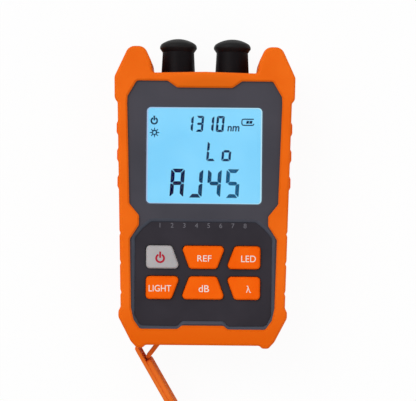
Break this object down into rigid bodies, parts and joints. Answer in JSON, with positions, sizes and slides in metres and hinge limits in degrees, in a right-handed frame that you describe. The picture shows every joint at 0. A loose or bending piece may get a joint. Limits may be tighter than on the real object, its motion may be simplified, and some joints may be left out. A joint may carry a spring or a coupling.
{
  "type": "optical power meter",
  "caption": "Hand-held optical power meter in a rubber boot: lit display, keypad, capped fibre ports on top, network and charging sockets under a hanging flap.",
  "frame": {"origin": "middle of the plane the meter lies on (the back of the boot), on the centreline, half way between the ends of the boot", "axes": "+Z out of the display; +Y along the meter towards the fibre ports; +X to the right when the display is read"},
  "size_m": [0.0812, 0.175, 0.034],
  "materials": {
    "boot_rubber": "matt",
    "flap_rubber": "matt",
    "housing_plastic": "fine texture",
    "overlay": "satin",
    "window": "clear",
    "display": "satin",
    "backlight": "satin",
    "frame_plastic": "matt",
    "board": "satin",
    "mat_rubber": "matt",
    "chip": "matt",
    "light": "frosted",
    "key_grey_plastic": "matt",
    "key_orange_plastic": "matt",
    "socket_metal": "brushed",
    "contact_metal": "polished",
    "tongue_plastic": "matt",
    "battery_foil": "satin",
    "port_metal": "turned",
    "cap_rubber": "satin",
    "torch_clear": "clear",
    "screw_metal": "blackened"
  },
  "bodies": {
    "case": {"boot": "boot_rubber", "front_housing": "housing_plastic", "rear_housing": "housing_plastic", "keypad_panel": "overlay", "window_lens": "window", "lcd_glass": "display", "lcd_backlight": "backlight", "lcd_frame": "frame_plastic", "main_board": "board", "keypad_mat": "mat_rubber", "microcontroller": "chip", "wire_leds": "light", "network_socket": "socket_metal", "charging_socket": "socket_metal", "socket_contacts": "contact_metal", "charging_tongue": "tongue_plastic", "battery": "battery_foil", "fibre_port_left": "port_metal", "fibre_port_right": "port_metal", "torch_lens": "torch_clear", "housing_screws": "screw_metal", "board_screws": "screw_metal"},
    "strap": {"flap_strap": "flap_rubber"},
    "flap": {"port_flap": "flap_rubber"},
    "cap_left": {"dust_cap_left": "cap_rubber"},
    "cap_right": {"dust_cap_right": "cap_rubber"},
    "key_power_body": {"key_power": "key_grey_plastic"},
    "key_ref_body": {"key_ref": "key_orange_plastic"},
    "key_led_body": {"key_led": "key_orange_plastic"},
    "key_light_body": {"key_light": "key_orange_plastic"},
    "key_db_body": {"key_db": "key_orange_plastic"},
    "key_wavelength_body": {"key_wavelength": "key_orange_plastic"}
  },
  "joints": [
    {"name": "strap_bend", "type": "hinge", "parent": "case", "child": "strap", "pos_m": [-0.0185, -0.06485, 0.0148], "axis": [0, 0, 1], "range_deg": [0, 127]},
    {"name": "flap_bend", "type": "hinge", "parent": "strap", "child": "flap", "pos_m": [-0.02488, -0.07332, 0.0148], "axis": [0, 0, 1], "range_deg": [-67.2, 0]},
    {"name": "cap_left_pull", "type": "slide", "parent": "case", "child": "cap_left", "axis": [0, 1, 0], "range_m": [0, 0.025]},
    {"name": "cap_right_pull", "type": "slide", "parent": "case", "child": "cap_right", "axis": [0, 1, 0], "range_m": [0, 0.025]},
    {"name": "key_power_press", "type": "slide", "parent": "case", "child": "key_power_body", "axis": [0, 0, -1], "range_m": [0, 0.0008], "stiffness_N_per_m": 1500, "deforming": ["keypad_mat"]},
    {"name": "key_ref_press", "type": "slide", "parent": "case", "child": "key_ref_body", "axis": [0, 0, -1], "range_m": [0, 0.0008], "stiffness_N_per_m": 1500, "deforming": ["keypad_mat"]},
    {"name": "key_led_press", "type": "slide", "parent": "case", "child": "key_led_body", "axis": [0, 0, -1], "range_m": [0, 0.0008], "stiffness_N_per_m": 1500, "deforming": ["keypad_mat"]},
    {"name": "key_light_press", "type": "slide", "parent": "case", "child": "key_light_body", "axis": [0, 0, -1], "range_m": [0, 0.0008], "stiffness_N_per_m": 1500, "deforming": ["keypad_mat"]},
    {"name": "key_db_press", "type": "slide", "parent": "case", "child": "key_db_body", "axis": [0, 0, -1], "range_m": [0, 0.0008], "stiffness_N_per_m": 1500, "deforming": ["keypad_mat"]},
    {"name": "key_wavelength_press", "type": "slide", "parent": "case", "child": "key_wavelength_body", "axis": [0, 0, -1], "range_m": [0, 0.0008], "stiffness_N_per_m": 1500, "deforming": ["keypad_mat"]}
  ],
  "couplings": [
    {"joint": "flap_bend", "follows": "strap_bend", "ratio": -0.5291}
  ]
}
